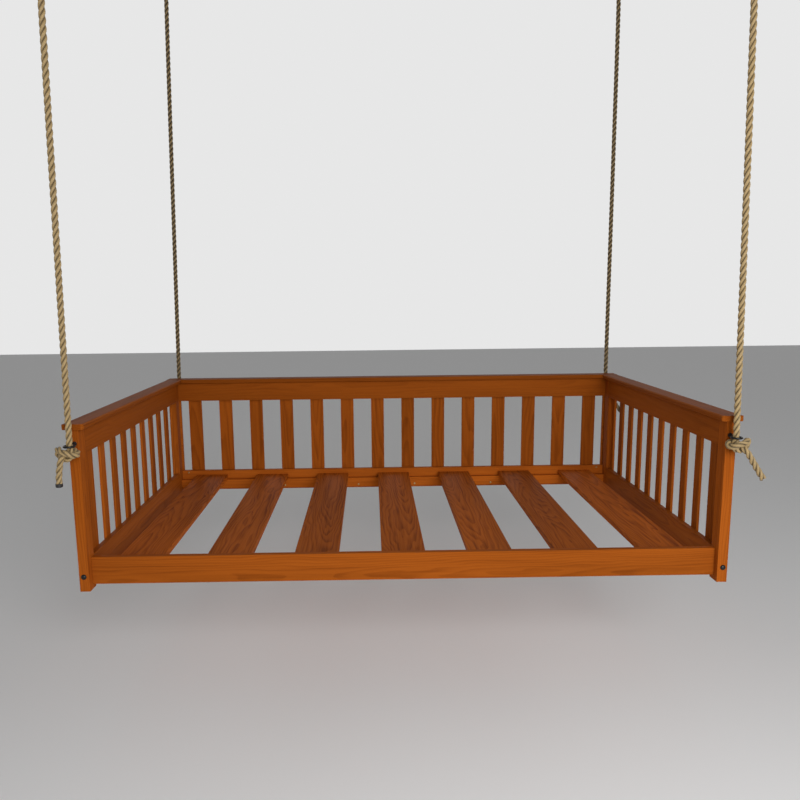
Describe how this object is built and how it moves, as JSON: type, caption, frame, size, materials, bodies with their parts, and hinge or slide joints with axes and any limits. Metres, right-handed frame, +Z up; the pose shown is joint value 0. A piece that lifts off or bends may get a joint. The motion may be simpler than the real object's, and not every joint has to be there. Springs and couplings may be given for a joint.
{
  "type": "porch swing",
  "caption": "Hanging day-bed porch swing: a wooden bed frame with slatted back and sides and spaced seat boards, on four knotted ropes.",
  "frame": {"origin": "in the ceiling plane, over the middle of the bed and halfway between the front and the back ropes", "axes": "+Z up, -Y out of the open front, +X to the right of someone who looks at the front"},
  "size_m": [2.1123, 1.249, 2.31],
  "materials": {
    "frame_wood": "oiled red-brown softwood, satin",
    "seat_wood": "oiled red-brown softwood, satin, strong figure",
    "rope": "three-strand tan rope, slight sheen",
    "black_steel": "black coated steel, satin"
  },
  "bodies": {
    "ceiling_hangers": {"ceiling_hanger_front_left": "black_steel", "ceiling_hanger_front_right": "black_steel", "ceiling_hanger_back_left": "black_steel", "ceiling_hanger_back_right": "black_steel"},
    "front_ropes": {"rope_front_left": "rope", "rope_front_right": "rope"},
    "back_ropes": {"rope_back_left": "rope", "rope_back_right": "rope"},
    "bed": {"leg_front_left": "frame_wood", "leg_back_left": "frame_wood", "bottom_rail_left": "frame_wood", "cap_and_top_rail_left": "frame_wood", "side_slat_left_1": "frame_wood", "side_slat_left_2": "frame_wood", "side_slat_left_3": "frame_wood", "side_slat_left_4": "frame_wood", "side_slat_left_5": "frame_wood", "side_slat_left_6": "frame_wood", "side_slat_left_7": "frame_wood", "side_slat_left_8": "frame_wood", "eye_bolt_front_left": "black_steel", "eye_bolt_back_left": "black_steel", "leg_front_right": "frame_wood", "leg_back_right": "frame_wood", "bottom_rail_right": "frame_wood", "cap_and_top_rail_right": "frame_wood", "side_slat_right_1": "frame_wood", "side_slat_right_2": "frame_wood", "side_slat_right_3": "frame_wood", "side_slat_right_4": "frame_wood", "side_slat_right_5": "frame_wood", "side_slat_right_6": "frame_wood", "side_slat_right_7": "frame_wood", "side_slat_right_8": "frame_wood", "eye_bolt_front_right": "black_steel", "eye_bolt_back_right": "black_steel", "front_rail": "frame_wood", "bottom_rail_back": "frame_wood", "cap_and_top_rail_back": "frame_wood", "back_slat_1": "frame_wood", "back_slat_2": "frame_wood", "back_slat_3": "frame_wood", "back_slat_4": "frame_wood", "back_slat_5": "frame_wood", "back_slat_6": "frame_wood", "back_slat_7": "frame_wood", "back_slat_8": "frame_wood", "back_slat_9": "frame_wood", "back_slat_10": "frame_wood", "back_slat_11": "frame_wood", "back_slat_12": "frame_wood", "back_slat_13": "frame_wood", "back_slat_14": "frame_wood", "seat_board_1": "seat_wood", "seat_board_2": "seat_wood", "seat_board_3": "seat_wood", "seat_board_4": "seat_wood", "seat_board_5": "seat_wood", "seat_board_6": "seat_wood", "seat_board_7": "seat_wood"}
  },
  "joints": [
    {"name": "front_ropes_swing", "type": "hinge", "parent": "ceiling_hangers", "child": "front_ropes", "pos_m": [0, -0.5925, -0.055], "axis": [1, 0, 0], "range_deg": [-12, 12]},
    {"name": "back_ropes_swing", "type": "hinge", "parent": "ceiling_hangers", "child": "back_ropes", "pos_m": [0, 0.5925, -0.064], "axis": [1, 0, 0], "range_deg": [-12, 12]},
    {"name": "bed_on_front_ropes", "type": "hinge", "parent": "front_ropes", "child": "bed", "pos_m": [0, -0.5925, -1.845], "axis": [1, 0, 0], "range_deg": [-12, 12]}
  ],
  "couplings": [
    {"joint": "back_ropes_swing", "follows": "front_ropes_swing", "ratio": 1},
    {"joint": "bed_on_front_ropes", "follows": "front_ropes_swing", "ratio": -1}
  ]
}
